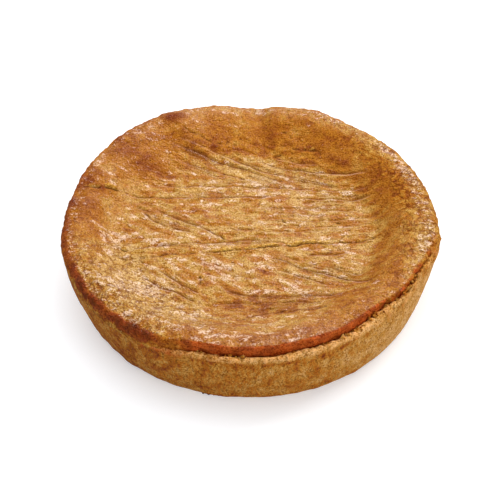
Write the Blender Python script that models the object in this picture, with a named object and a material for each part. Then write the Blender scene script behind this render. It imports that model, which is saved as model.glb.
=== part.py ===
"""A whole gateau basque: a round, uncut cake of butter pastry, baked in a flaring tin.

Metres, +Z up. The origin is the middle of the flat bottom. The front, with the open
seam, faces -Y.

The cake is one solid. Its wall flares from the bottom to the rim, its lid has sunk in
the middle, and along the front the lid has shrunk back from the wall and left an open
seam. The lid was scored with a fork in long, shallow strokes before it was baked.
"""

import math

import bmesh
import bpy
from mathutils import Matrix, Vector

MM = 0.001  # the sizes below are in millimetres

# Driving sizes
RIM_RADIUS = 110.0      # widest place, near the top of the wall
BASE_RADIUS = 102.0     # foot of the wall
RIM_HEIGHT = 43.5       # crest of the lid's raised border
CENTRE_HEIGHT = 30.0    # sunken middle of the lid
BOTTOM_ROUNDING = 2.5   # rounded edge between the bottom and the wall
WALL_BULGE = 1.2        # how far the wall stands out of a straight cone at mid height
FOOT_RADIUS_X = 80.0    # where the lid's inner slope runs out, left and right
FOOT_RADIUS_Y = 64.0    # the same, front and back

# The open seam: the azimuths between which the lid stands clear of the wall
SEAM_FROM = -112.0
SEAM_TO = -22.0
SEAM_FADE = 16.0        # degrees over which it closes at each end

# The join of wall and lid, from the wall's shoulder to the lid's crest, as how far in
# from RIM_RADIUS and how far down from RIM_HEIGHT each point lies: once where the lid
# is baked onto the wall, once where the seam is open.
JOIN_CLOSED = ((0.1, 7.5), (0.0, 5.5), (0.1, 3.9), (0.4, 2.5), (1.2, 1.4), (2.5, 0.6), (4.0, 0.2),
               (6.0, 0.0))
JOIN_OPEN = ((2.3, 9.5), (2.2, 6.3), (2.8, 4.8), (4.4, 5.4), (5.8, 6.8), (6.3, 3.9), (7.1, 1.2),
             (10.0, 0.4))

# Where the rim is not round or not level:
# (azimuth, half width in degrees, how far out, how far up)
RIM_WAVES = (
    (138, 12, 1.2, 0.3),
    (120, 18, 1.6, 0.9),
    (89, 8, -1.4, -2.6),
    (67, 9, 0.6, 0.8),
    (53, 6, -0.6, -0.9),
    (20, 16, -0.5, -0.3),
    (-11, 8, 1.6, 0.0),
    (-25, 8, -1.2, 0.0),
    (172, 14, -1.6, -0.4),
    (-55, 16, -2.2, -0.4),
)

WAVES_FROM = 60.0       # the waves die away inwards of this radius
WAVES_OVER = 45.0       # and reach their full size this much further out

# The fork's strokes and the cracks that follow them, as points across the lid
STROKE_WIDTH = 2.6
STROKE_DEPTH = 1.1
STROKES = (
    ((-83, -26), (-43, -17), (7, -10), (74, -2)),
    ((-82, -15), (-36, -8), (30, -3), (79, 8)),
    ((-85, 31), (-30, 34), (25, 32), (64, 30)),
    ((-67, 42), (-30, 43), (13, 40), (53, 39)),
    ((-44, 82), (-12, 66), (32, 47), (56, 40)),
    ((-14, 80), (15, 66), (42, 50)),
    ((-57, 27), (-32, 8), (-11, -4)),
    ((9, -17), (30, -27), (66, -45)),
    ((-63, -29), (-48, -43), (-19, -70)),
    ((-25, -70), (10, -65), (50, -63)),
    ((0, -53), (30, -51), (48, -47)),
)

# Folds of the inner slope: the two ends, the half width and the height
FOLDS = (
    ((-50, 92), (-30, 72), 9.0, 2.2),
    ((5, 100), (7, 74), 5.0, -2.0),
)

# How finely the solid is drawn before and after it is thinned out
AROUND = 288
FOOT_RINGS = 3
WALL_RINGS = 8
LID_RINGS = 64
TRIANGLES = 9200
MERGE = 0.01            # points closer than this are one
FLAT = 0.05             # points lower than this lie on the flat bottom
SHARP_FROM = 50.0       # degrees between two faces from which their edge is drawn sharp

CRUST = (0.55, 0.27, 0.075)  # baked butter pastry, linear colour
CRUST_ROUGHNESS = 0.5


def smooth(t):
    """Rises from 0 to 1 without a kink at either end."""
    t = min(max(t, 0.0), 1.0)
    return t * t * (3.0 - 2.0 * t)


def mix(a, b, t):
    return a + (b - a) * t


def turn_between(azimuth, centre):
    """The angle between two azimuths, 0 to 180 degrees."""
    return abs((azimuth - centre + 180.0) % 360.0 - 180.0)


def seam_opening(azimuth):
    """1 where the lid stands clear of the wall, 0 where it is baked onto it."""
    middle = (SEAM_FROM + SEAM_TO) / 2.0
    half = (SEAM_TO - SEAM_FROM) / 2.0
    return smooth((half + SEAM_FADE - turn_between(azimuth, middle)) / SEAM_FADE)


def distance_to_segment(x, y, start, end):
    """How far (x, y) is from the segment, and how far along it the nearest point lies."""
    across = Vector(end) - Vector(start)
    offset = Vector((x, y)) - Vector(start)
    along = min(max(offset.dot(across) / across.length_squared, 0.0), 1.0)
    return (offset - across * along).length, along


def stroke_cut(x, y):
    """How deep the nearest fork stroke is cut at (x, y)."""
    nearest = min(distance_to_segment(x, y, a, b)[0]
                  for stroke in STROKES for a, b in zip(stroke, stroke[1:]))
    return STROKE_DEPTH * smooth(1.0 - nearest / STROKE_WIDTH)


def fold_height(x, y):
    """How far the folds of the inner slope stand out at (x, y)."""
    total = 0.0
    for start, end, half_width, height in FOLDS:
        gap, along = distance_to_segment(x, y, start, end)
        fade = smooth(1.0 - abs(2.0 * along - 1.0) ** 3)
        total += height * fade * math.exp(-(gap / half_width) ** 2)
    return total


def foot_radius(azimuth):
    """Where the inner slope runs out into the sunken middle."""
    angle = math.radians(azimuth)
    return 1.0 / math.hypot(math.cos(angle) / FOOT_RADIUS_X, math.sin(angle) / FOOT_RADIUS_Y)


def join_point(index, azimuth):
    """The join of wall and lid: the ledge and the open seam in front, a round edge elsewhere."""
    opening = seam_opening(azimuth)
    closed, opened = JOIN_CLOSED[index], JOIN_OPEN[index]
    inset = mix(closed[0], opened[0], opening)
    drop = mix(closed[1], opened[1], opening)
    return RIM_RADIUS - inset, RIM_HEIGHT - drop


def wall_point(t, azimuth):
    """The wall between its rounded foot (t = 0) and the join with the lid (t = 1)."""
    top_radius, top_height = join_point(0, azimuth)
    radius = mix(BASE_RADIUS, top_radius, t) + WALL_BULGE * math.sin(math.pi * t)
    return radius, mix(BOTTOM_ROUNDING, top_height, t)


def lid_point(t, azimuth):
    """The lid from its crest (t = 0) down the inner slope and in to the middle (t = 1)."""
    crest_radius, crest_height = join_point(len(JOIN_CLOSED) - 1, azimuth)
    radius = crest_radius * (1.0 - t)
    foot = foot_radius(azimuth)
    rise = smooth((radius - foot) / (crest_radius - foot))
    return radius, mix(CENTRE_HEIGHT, crest_height, rise)


def foot_point(t, azimuth):
    """The rounded edge from the flat bottom (t = 0) to the foot of the wall (t = 1)."""
    angle = math.pi / 2.0 * t
    return (BASE_RADIUS - BOTTOM_ROUNDING * (1.0 - math.sin(angle)),
            BOTTOM_ROUNDING * (1.0 - math.cos(angle)))


def outline():
    """The turned outline from the bottom to the lid's middle, as (function, argument) pairs."""
    points = [(foot_point, step / FOOT_RINGS) for step in range(FOOT_RINGS)]
    points += [(wall_point, step / WALL_RINGS) for step in range(WALL_RINGS)]
    points += [(join_point, index) for index in range(len(JOIN_CLOSED))]
    points += [(lid_point, step / LID_RINGS) for step in range(1, LID_RINGS)]
    return points


def uneven(radius, height, azimuth):
    """Moves a point of the true round cake to where the uneven rim has it."""
    near_rim = smooth((radius - WAVES_FROM) / WAVES_OVER) * smooth(height / RIM_HEIGHT)
    for centre, half_width, out, up in RIM_WAVES:
        share = math.exp(-(turn_between(azimuth, centre) / half_width) ** 2)
        radius += out * share * near_rim
        height += up * share * near_rim ** 2
    return radius, height


def place(point, radius, height, azimuth, on_lid):
    """Puts a mesh point at a radius, height and azimuth, with folds and strokes on the lid."""
    radius, height = uneven(radius, height, azimuth)
    angle = math.radians(azimuth)
    x, y = radius * math.cos(angle), radius * math.sin(angle)
    if on_lid:
        height += fold_height(x, y) - stroke_cut(x, y)
    point.co = Vector((x, y, height)) * MM


def turned_cake():
    """Turns the outline about Z, then moves every ring to its uneven place."""
    points = outline()
    mesh = bmesh.new()
    row_of = mesh.verts.layers.int.new("row")
    rows = [mesh.verts.new((0.0, 0.0, 0.0))]
    for make, argument in points:
        radius, height = make(argument, 0.0)
        rows.append(mesh.verts.new((radius * MM, 0.0, height * MM)))
    rows.append(mesh.verts.new((0.0, 0.0, (CENTRE_HEIGHT - stroke_cut(0.0, 0.0)) * MM)))
    for index, vertex in enumerate(rows):
        vertex[row_of] = index
    edges = [mesh.edges.new(pair) for pair in zip(rows, rows[1:])]
    bmesh.ops.spin(mesh, geom=rows + edges, axis=(0, 0, 1), cent=(0, 0, 0),
                   angle=math.tau, steps=AROUND, use_merge=True)
    bmesh.ops.remove_doubles(mesh, verts=mesh.verts, dist=MERGE * MM)
    for vertex in mesh.verts:
        if not 0 < vertex[row_of] <= len(points):
            continue
        make, argument = points[vertex[row_of] - 1]
        azimuth = math.degrees(math.atan2(vertex.co.y, vertex.co.x))
        radius, height = make(argument, azimuth)
        place(vertex, radius, height, azimuth, make is lid_point)
    bmesh.ops.recalc_face_normals(mesh, faces=mesh.faces)
    return mesh


def thinned(cake):
    """Thins the fine mesh to one that keeps its creases, and centres it on the origin."""
    fine = sum(len(face.vertices) - 2 for face in cake.data.polygons)
    thin = cake.modifiers.new("Thin", "DECIMATE")
    thin.ratio = TRIANGLES / fine
    thin.use_collapse_triangulate = True
    depsgraph = bpy.context.evaluated_depsgraph_get()
    solid = bpy.data.meshes.new_from_object(cake.evaluated_get(depsgraph))
    cake.modifiers.remove(thin)
    cake.data = solid
    for vertex in solid.vertices:
        if vertex.co.z < FLAT * MM:
            vertex.co.z = 0.0
    across = [vertex.co.x for vertex in solid.vertices]
    deep = [vertex.co.y for vertex in solid.vertices]
    middle = Vector((min(across) + max(across), min(deep) + max(deep), 0.0)) / 2.0
    solid.transform(Matrix.Translation(-middle))
    solid.shade_smooth()
    solid.set_sharp_from_angle(angle=math.radians(SHARP_FROM))


def crust_material():
    material = bpy.data.materials.new("baked_butter_pastry")
    material.use_nodes = True
    surface = material.node_tree.nodes["Principled BSDF"]
    surface.inputs["Base Color"].default_value = (*CRUST, 1.0)
    surface.inputs["Roughness"].default_value = CRUST_ROUGHNESS
    surface.inputs["Metallic"].default_value = 0.0
    return material


def make_cake():
    mesh = turned_cake()
    data = bpy.data.meshes.new("cake")
    mesh.to_mesh(data)
    mesh.free()
    cake = bpy.data.objects.new("cake", data)
    bpy.context.collection.objects.link(cake)
    thinned(cake)
    cake.data.materials.clear()
    cake.data.materials.append(crust_material())
    return cake


for leftover in list(bpy.data.objects):
    bpy.data.objects.remove(leftover)
make_cake()
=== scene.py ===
"""A whole, uncut gateau basque: a pastry case, a scored and egg-washed lid, and its crumbs.

Shape code works in millimetres and writes meshes in metres. The cake stands on its flat
bottom at the origin, +Z up, and its front, where the seam is open, faces -Y. An azimuth
is measured in degrees from +X towards +Y. Browning runs from 0, pale, to 1, burnt.
"""

import itertools
import math

import bmesh
import bpy
import numpy as np
from mathutils import Matrix, Vector, kdtree


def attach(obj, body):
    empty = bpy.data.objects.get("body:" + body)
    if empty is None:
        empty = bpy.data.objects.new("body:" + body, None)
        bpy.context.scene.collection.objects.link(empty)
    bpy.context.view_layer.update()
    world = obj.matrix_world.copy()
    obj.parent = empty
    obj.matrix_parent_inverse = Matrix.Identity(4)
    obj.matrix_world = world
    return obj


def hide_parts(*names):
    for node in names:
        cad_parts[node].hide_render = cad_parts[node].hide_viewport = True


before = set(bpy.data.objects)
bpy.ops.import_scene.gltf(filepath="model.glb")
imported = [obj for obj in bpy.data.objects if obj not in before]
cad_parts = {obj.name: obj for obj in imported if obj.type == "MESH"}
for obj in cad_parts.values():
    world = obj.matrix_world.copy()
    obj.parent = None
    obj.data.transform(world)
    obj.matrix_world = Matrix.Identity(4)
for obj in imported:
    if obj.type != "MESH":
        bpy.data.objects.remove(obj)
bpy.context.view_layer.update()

bl_info = {
    "name": "Gateau basque",
    "version": (1, 0, 0),
    "blender": (4, 5, 0),
    "location": "View3D > Sidebar > Cake",
    "description": "Makes a whole gateau basque: its case, its scored lid and its crumbs",
    "category": "Object",
}

MM = 0.001

# ------------------------------ the cake's form, in mm

# The open seam: how far the lid stands clear of the case at azimuths along the front
SEAM = ((-120.0, 0.0), (-113.0, 0.35), (-105.0, 1.0), (-26.0, 1.0), (-16.0, 0.55), (-8.0, 0.0))
# How much further the lid has shrunk back, or less far where negative: (azimuth, mm)
SHRUNK = ((-84.0, 0.0), (-74.0, 0.9), (-66.0, 0.0), (-58.0, 0.2), (-50.0, 1.5), (-44.0, 1.7),
          (-36.0, -0.6), (-24.0, -1.2), (-14.0, -0.3), (-8.0, 0.0))

# Outlines as (inset from the rim radius, drop from the rim height). The lid's run from its
# crest over its edge to its underside, the case's from the wall's top into the seam. Each
# has one for where the lid is baked onto the case and one for where the seam is open.
LID_CLOSED = ((6.0, 0.0), (4.9, 0.1), (3.9, 0.25), (2.9, 0.5), (2.0, 0.95), (1.2, 1.6), (0.6, 2.4),
              (0.25, 3.4), (0.05, 4.5), (0.0, 5.6), (0.0, 6.8), (0.05, 8.0), (0.1, 9.0), (1.8, 9.9),
              (12.0, 14.0), (22.0, 23.0))
LID_OPEN = ((8.6, 0.4), (7.9, 0.4), (7.35, 0.5), (6.95, 0.75), (6.7, 1.2), (6.55, 1.9), (6.45, 2.8),
            (6.4, 3.8), (6.35, 4.9), (6.35, 6.0), (6.4, 7.1), (6.6, 8.2), (7.4, 9.2), (9.5, 10.4),
            (14.0, 15.0), (22.0, 23.0))
CASE_CLOSED = ((0.15, 8.6), (0.2, 7.9), (0.45, 7.2), (0.9, 6.6), (1.6, 6.2), (2.5, 6.0), (3.5, 6.3),
               (4.6, 7.2), (6.0, 9.5), (14.0, 16.0), (26.0, 22.5))
CASE_OPEN = ((2.3, 8.6), (2.2, 7.3), (2.25, 6.2), (2.5, 5.5), (3.0, 5.05), (3.6, 4.9), (4.3, 5.15),
             (5.1, 5.6), (6.1, 6.3), (8.0, 8.5), (26.0, 22.5))
HIDDEN_ROWS = 2       # the last rows of each outline, which no light reaches

# Where the rim is not round or not level: (azimuth, half width in degrees, out, up)
RIM_WAVES = (
    (138, 12, 1.2, 0.3), (120, 18, 1.6, 0.9), (89, 8, -1.4, -2.6), (67, 9, 0.6, 0.8),
    (53, 6, -0.6, -0.9), (20, 16, -0.5, -0.3), (-11, 8, 1.6, 0.0), (-25, 8, -1.2, 0.0),
    (172, 14, -1.6, -0.4), (-55, 16, -2.2, -0.4),
)
RIM_TOP = 3.0         # how far inwards the rim stays level, and how much further at its widest
RIM_TOP_MORE = 8.0
RIM_TOP_WIDEST = -2.0
RIM_TOP_SPREAD = 38.0
WAVES_FROM = 60.0     # the waves die away inwards of this radius
WAVES_OVER = 45.0

# Folds where the dough was pushed together: (start, end, half width, height)
FOLDS = (
    ((-50, 92), (-30, 72), 9.0, 2.2),
    ((5, 100), (7, 74), 5.0, -2.0),
)

# The fork's and the knife's strokes across the lid: (depth, half width, points)
STROKES = (
    (0.8, 0.8, ((-74, -15), (-60, -13), (-40, -10), (-20, -9), (0, -7), (20, -6))),
    (0.9, 0.7, ((-80, 31), (-50, 30.5), (-15, 31), (21, 31))),
    (0.8, 0.7, ((27, 30), (50, 29), (74, 28))),
    (0.8, 0.8, ((-65, 41), (-25, 41), (0, 40), (35, 38), (74, 35))),
    (0.5, 0.8, ((-4, 22), (25, 20), (68, 19))),
    (1.0, 0.8, ((-52, 73), (-30, 66), (-5, 57), (12, 49), (30, 43))),
    (1.0, 0.8, ((-24, 70), (-8, 63), (8, 55), (30, 49), (50, 41), (56, 35))),
    (0.9, 0.7, ((4, 64), (20, 58), (40, 53), (60, 48), (72, 45))),
    (0.8, 0.7, ((-4, 52), (10, 46), (22, 40))),
    (0.8, 0.7, ((20, 50), (34, 45.5), (52, 39))),
    (0.6, 0.8, ((-46, 62), (-28, 57), (-8, 49), (8, 43))),
    (0.9, 0.8, ((-66, 18), (-57, 9), (-45, 3), (-33, -1))),
    (0.9, 0.8, ((-60, 22), (-45, 12), (-30, 4), (-14, -6))),
    (0.6, 0.8, ((-72, 24), (-62, 18), (-52, 9), (-40, 6))),
    (1.0, 0.9, ((-55, -31), (-44, -39), (-35, -47), (-28, -51))),
    (1.0, 0.9, ((-63, -36), (-52, -45), (-40, -51), (-30, -58))),
    (0.9, 0.9, ((-18, -43), (-13, -49), (-2, -52.5), (10, -53), (35, -53), (56, -51))),
    (0.5, 0.8, ((-30, -24), (-16, -30), (-4, -37), (12, -41))),
    (1.1, 0.9, ((8, -21), (20, -25), (33, -32), (48, -37), (60, -42), (70, -47))),
    (0.8, 0.8, ((15, -32), (25, -36), (34, -39), (44, -44))),
    (0.7, 0.8, ((43, -29), (52, -33), (64, -37))),
    (0.7, 0.8, ((31, -20), (45, -19), (57, -17.5))),
    (1.0, 0.8, ((-37, -69), (-20, -71.5), (-5, -71), (10, -66), (30, -65), (49, -64))),
    (0.8, 0.7, ((6, -57.5), (26, -57.5), (42, -58))),
    (0.6, 0.7, ((-20, -59), (-4, -58), (12, -60.5), (26, -60))),
    (0.5, 0.7, ((-14, -63.5), (0, -65), (12, -62))),
    (0.5, 0.8, ((-40, -80), (-22, -82.5), (-6, -81), (10, -79))),
    (0.5, 0.8, ((2, 13), (30, 10), (58, 11), (76, 13))),
    (0.5, 0.8, ((-14, 3), (12, 0), (40, 1), (64, 3))),
)

# Tears in the crust, deeper and ragged: (depth, half width, points)
CRACKS = (
    (0.7, 0.50, ((-80, -21.5), (-65, -23), (-45, -19.5), (-24, -17.5))),
    (1.9, 0.55, ((-30, -18), (-12, -15.5), (0, -14), (12, -12), (28, -11), (53, -9))),
    (0.8, 0.50, ((48, -9.5), (66, -8), (81, -3))),
    (0.9, 0.50, ((51, -9), (53, -5), (54.5, -1))),
    (1.5, 0.70, ((-101, 25.5), (-94, 27), (-87, 29), (-78, 31))),
    (1.4, 0.60, ((-80, -12), (-76, -14), (-71, -15.5))),
    (0.6, 0.50, ((18, 82.5), (24, 81), (25.5, 77))),
    (0.6, 0.50, ((25, 71), (31, 70))),
    (0.9, 0.50, ((31, 70), (37, 69), (41, 68), (43.5, 63.5))),
    (0.6, 0.50, ((12, 65.5), (19, 68), (22, 71))),
    (0.6, 0.50, ((-16, 77.5), (-8, 74.5))),
    (0.6, 0.50, ((-44, 83), (-30, 77), (-18, 75), (-8, 74))),
    (1.2, 0.60, ((-29.5, -37), (-28.5, -40), (-29, -45))),
    (0.9, 0.55, ((17.5, 12), (19, 9), (20.5, 7))),
    (1.0, 0.60, ((-18, -3), (-15.5, -7))),
    (1.0, 0.55, ((50, 8.5), (53, 7.5))),
    (1.0, 0.55, ((61, 9.5), (63.5, 8.5))),
)

# Spots where the lid is browner, or paler where negative: (x, y, radius x, radius y, how much)
PATCHES = (
    (-62, 55, 14, 10, 0.28), (-64, 31, 20, 7, 0.04), (-75, 43, 8, 8, 0.14), (-49, 49, 11, 9, 0.14),
    (-95, 5, 7, 18, 0.26), (-72, 2, 12, 10, 0.10), (-98, 35, 8, 10, 0.34), (-82, 64, 13, 14, 0.24),
    (-56, 74, 12, 9, 0.18), (-25, 72, 22, 9, 0.12), (0, 54, 14, 9, -0.26), (20, 70, 12, 7, 0.10),
    (-37, 36, 9, 6, -0.20), (-22, 82, 10, 10, 0.10), (59, -6, 8, 14, 0.12), (97, -20, 8, 26, -0.12),
    (-50, 90, 8, 5, 0.40), (-46, 77, 5, 4, 0.22), (-90, 27, 8, 5, 0.35), (15, 83, 8, 6, 0.24),
    (52, 74, 12, 8, 0.12), (53, 54, 8, 8, 0.12), (40, 69, 8, 7, 0.12), (77, 43, 8, 9, 0.16),
    (84, 22, 7, 10, 0.16), (80, -42, 12, 18, 0.08), (54, -54, 14, 14, 0.14), (48, -80, 20, 10, 0.12),
    (-3, -61, 22, 11, 0.24), (24, -57, 32, 14, 0.06), (-40, -71, 16, 12, -0.20),
    (-88, -28, 7, 16, 0.08), (-107, 0, 8, 36, 0.26), (-66, -44, 16, 24, -0.26), (0, 2, 22, 12, -0.05),
    (-38, 22, 8, 6, 0.14), (-22, 32, 7, 6, 0.12), (20, -79, 16, 8, -0.16), (21, -34, 8, 6, -0.18),
    (54, -31, 7, 5, -0.16), (-33, 57, 7, 6, 0.14), (-40, -10, 9, 6, -0.14), (-72, -19, 8, 7, -0.16),
    (-2, -41, 6, 4, -0.14), (9, -35, 6, 5, 0.30), (-55, -23, 8, 9, 0.16), (-26, -35, 7, 5, 0.18),
    (45, 0, 8, 5, -0.14), (78, 0, 6, 6, -0.12), (-14, -33, 12, 4, -0.10), (45, 43, 10, 7, -0.08),
    (0, 44, 12, 8, -0.08), (51, 29, 8, 5, -0.14),
)

# Where painted glints lie as pale cream spots, standing for the glaze's shine and partly for egg wash dried
# pale, or fewer where negative: (x, y, radius x, radius y, how much)
GLINT_SPOTS = (
    (-78, -6, 7, 6, 1.1), (-97, 20, 5, 8, 0.5), (-58, 72, 4, 3, 0.8), (-16, -28, 9, 4, 1.1),
    (7, -50, 8, 3, 1.0), (25, -46, 7, 3, 0.6), (31, -52, 6, 3, 0.9), (5, 40, 7, 4, 0.9),
    (16, -79, 16, 4, 0.3), (-60, -50, 15, 8, 0.8), (-28, -73, 15, 5, 0.5), (95, 10, 6, 16, 0.4),
    (88, 45, 7, 9, 0.5), (0, -4, 18, 9, -0.9), (-17, 13, 16, 6, -0.8), (-60, 30, 22, 8, -0.8),
    (10, 56, 32, 8, -0.8), (76, 0, 10, 36, -0.9), (30, -66, 30, 8, -0.4), (-10, -54, 14, 6, -0.6),
)

# Loose crumbs: (first and last azimuth, least and most inset from the rim radius, drop from
# the rim height, how many, least and most size, browning)
CRUMBS = (
    ((-108.0, -102.0), (3.8, 6.1), 5.2, 5, (0.4, 0.8), 0.34),
    ((-97.0, -91.0), (4.0, 6.2), 5.0, 9, (0.5, 1.0), 0.36),
    ((-80.0, -66.0), (3.6, 6.1), 5.2, 10, (0.4, 0.8), 0.40),
    ((-62.0, -52.0), (3.2, 8.5), 4.8, 22, (0.5, 1.1), 0.30),
    ((-51.0, -37.0), (4.2, 8.0), 3.4, 22, (0.4, 1.1), 0.40),
    ((-37.0, -22.0), (4.0, 6.4), 2.0, 24, (0.4, 1.1), 0.40),
    ((-134.0, -126.0), (-0.2, 1.2), 7.2, 16, (0.4, 0.9), 0.14),
    ((-105.0, -99.5), (8.8, 9.2), 42.5, 11, (0.5, 1.0), 0.90),
)

STROKE_STEP = 0.25    # between the points that stand for a stroke
HAIRLINES = 4         # faint scratches drawn beside each stroke
HAIRLINE_SEED = 5
HAIRLINE_STARTS = (0.0, 0.6)        # as shares of the stroke, like its length
HAIRLINE_LENGTHS = (0.25, 0.55)
HAIRLINE_ASIDE = (1.5, 6.0)
HAIRLINE_DEPTHS = (0.15, 0.5)
CRUMB_SEED = 17
# How far the lines wander off their points in mm, how unevenly deep they are, and their seed
STROKE_MANNER = (0.45, 0.5, 101)
CRACK_MANNER = (1.0, 2.0, 201)
WANDERS = ((9.0, 1.0), (2.2, 0.35))  # the lines' bends: (how long, share of how far they wander)
UNEVEN = 3.6          # the length of the deeper and shallower stretches of a line
GRAIN_REACH = 14.0    # how far round a stroke the surface is drawn out along it
GRAIN_ELSEWHERE = (0.02, 0.0)       # a slight pull along X, where no stroke is near
GRAIN_STEP = 20       # from one point of a stroke that pulls to the next
GRAIN_AHEAD = 4       # from such a point to the one that gives its direction

# Arcs of the rim that differ from the rest: (azimuth of the middle, half width)
ARCS = {
    "long strokes": (-70.0, 50.0),      # where the fork reached nearer the rim
    "wide slope": (72.0, 42.0),         # where the slope to the rim starts further in
    "dark back": (78.0, 44.0),          # where that slope is darker, partly browning and partly painted shade, as it is turned from the light
    # where the right slope is darker the same way
    "dark right": (10.0, 50.0),
    "caught front": (-132.0, 30.0),     # where the oven caught the lid's edge
    "caught left": (172.0, 46.0),
    "dripped front": (-132.0, 34.0),    # where the egg wash ran down the case
    "dripped left": (170.0, 60.0),
    # The wall is painted paler at the right, partly as light falling there, and browner at the left, partly
    # as painted shade
    "brown wall": (-140.0, 34.0),
    "pale wall": (-30.0, 32.0),
    "palest wall": (-22.0, 22.0),
}
# Parts of the lid: (azimuth of the middle, half width, radius where it starts, mm until it is full)
ZONES = {
    "granular left": (-140.0, 34.0, 58.0, 18.0),
    "granular right": (12.0, 50.0, 82.0, 10.0),
    "front": (-78.0, 40.0, 72.0, 14.0),
    "above the seam": (-84.0, 30.0, 90.0, 5.0),
    "back left": (120.0, 75.0, 88.0, 14.0),
    # where a painted sheen lies along the left edge as pale spots
    "sheen left": (172.0, 38.0, 100.0, 6.0),
}
SCORED_TO = 88.0      # radius where the strokes end, and how much further out they go at the front
SCORED_MORE = 12.0
SLOPE_FROM = 70.0     # radius where the slope to the rim starts, and how much further in at the back
SLOPE_MORE = 8.0
SLOPE_TO = 103.0
RIM_FROM = 84.0
CREST_FROM = 34.5     # height where the top of the case's wall starts to be torn
LEDGE_RISE = 3.3      # how much the crumbling crust raises the case's top at the seam's right end
# Where that end starts and the degrees until it is full, then where it ends and the degrees up to there
LEDGE_FROM = (-58.0, 24.0)
LEDGE_TO = (-6.0, 10.0)
BROKEN_FROM = (-58.0, 16.0)         # the same for the lid's edge above it, where crumbs came away
BROKEN_TO = (0.0, 10.0)

# Noise as (size of its bumps in mm, seed), and streaks as (size, reach along the strokes, seed)
LID_NOISE = ((20.0, 1), (8.0, 2), (2.3, 5), (7.0, 31))        # lumps, knobs, crumb, pooled egg wash
LID_STREAKS = ((3.4, 3.0, 3), (1.9, 2.2, 4), (5.2, 2.6, 32), (3.2, 2.0, 33))  # coarse, fine, pooled, and where painted glints and dried wash lie
EDGE_NOISE = ((5.0, 35), (2.6, 36), (4.0, 37))                # the open edge, where it crumbled, all of it
WALL_NOISE = ((24.0, 21), (8.0, 22), (3.0, 23), (1.6, 24))    # lumps, knobs, crumb, fine


# ------------------------------ numbers and noise

def linear(hex_colour):
    """An sRGB hex colour such as #CB903F as a linear RGB triple."""
    parts = [int(hex_colour[i:i + 2], 16) / 255.0 for i in (1, 3, 5)]
    return tuple(p / 12.92 if p <= 0.04045 else ((p + 0.055) / 1.055) ** 2.4 for p in parts)


def smooth(t):
    """Rises from 0 to 1 without a kink at either end."""
    t = np.clip(t, 0.0, 1.0)
    return t * t * (3.0 - 2.0 * t)


def rises(value, start, over):
    """0 up to start, then up to 1 over the stretch that follows."""
    return smooth((value - start) / over)


def falls(value, end, over):
    """1 at first, then down to 0 over the stretch that leads to end."""
    return smooth((end - value) / over)


def mix(a, b, t):
    """The value a share t of the way from a to b."""
    return a + (b - a) * t


def bell(distance, half_width):
    """1 in the middle, dying away over the half width."""
    return np.exp(-(distance / half_width) ** 2)


def signed(azimuth):
    """The same azimuth between -180 and 180 degrees."""
    return (azimuth + 180.0) % 360.0 - 180.0


def arc(name, azimuth):
    """1 in the middle of an arc of the rim, dying away on both sides."""
    middle, half_width = ARCS[name]
    return bell(signed(azimuth - middle), half_width)


def zone(name, azimuth, radius):
    """1 in the middle of a part of the lid, dying away round the rim and inwards."""
    middle, half_width, start, over = ZONES[name]
    return bell(signed(azimuth - middle), half_width) * rises(radius, start, over)


def spots(flat, places):
    """Soft oval spots added up, each given as (x, y, radius x, radius y, how much)."""
    x, y = flat[:, 0], flat[:, 1]
    return sum(amount * np.exp(-((x - px) / rx) ** 2 - ((y - py) / ry) ** 2)
               for px, py, rx, ry, amount in places)


DIRECTIONS = np.random.default_rng(11).normal(size=(256, 3))
DIRECTIONS /= np.linalg.norm(DIRECTIONS, axis=1)[:, None]


def scrambled(cell, seed):
    """A repeatable pick from 0 to 255 for each whole-number cell."""
    mixed = cell[:, 0] * 73856093 ^ cell[:, 1] * 19349663 ^ cell[:, 2] * 83492791 ^ seed * 39916801
    mixed = (mixed ^ (mixed >> 13)) * 1274126177
    return (mixed ^ (mixed >> 16)) & 255


def rough(points, size, seed):
    """Gradient noise from about -1 to 1, whose bumps are about size across."""
    scaled = points / size
    corner = np.floor(scaled).astype(np.int64)
    inside = scaled - corner
    ease = inside ** 3 * (inside * (inside * 6.0 - 15.0) + 10.0)
    total = np.zeros(len(points))
    for step in itertools.product((0, 1), repeat=3):
        share = np.prod(np.where(step, ease, 1.0 - ease), axis=1)
        pull = DIRECTIONS[scrambled(corner + step, seed)]
        total += share * np.sum(pull * (inside - step), axis=1)
    return total * 1.8


def cells(points, size, seed):
    """The distance to the nearest of scattered points about size apart, as a share of size."""
    scaled = points / size
    corner = np.floor(scaled).astype(np.int64)
    nearest = np.full(len(points), 9.0)
    for step in itertools.product((-1, 0, 1), repeat=3):
        cell = corner + step
        centre = cell + 0.5 + 0.45 * DIRECTIONS[scrambled(cell, seed)]
        nearest = np.minimum(nearest, np.linalg.norm(scaled - centre, axis=1))
    return nearest


def streaks(points, direction, size, reach, seed):
    """Noise drawn out along a direction, as a fork or a brush drags it."""
    steps = np.linspace(-reach, reach, 7)
    return sum(rough(points + direction * step, size, seed) for step in steps) / 3.5


# ------------------------------ the form as functions

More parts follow.
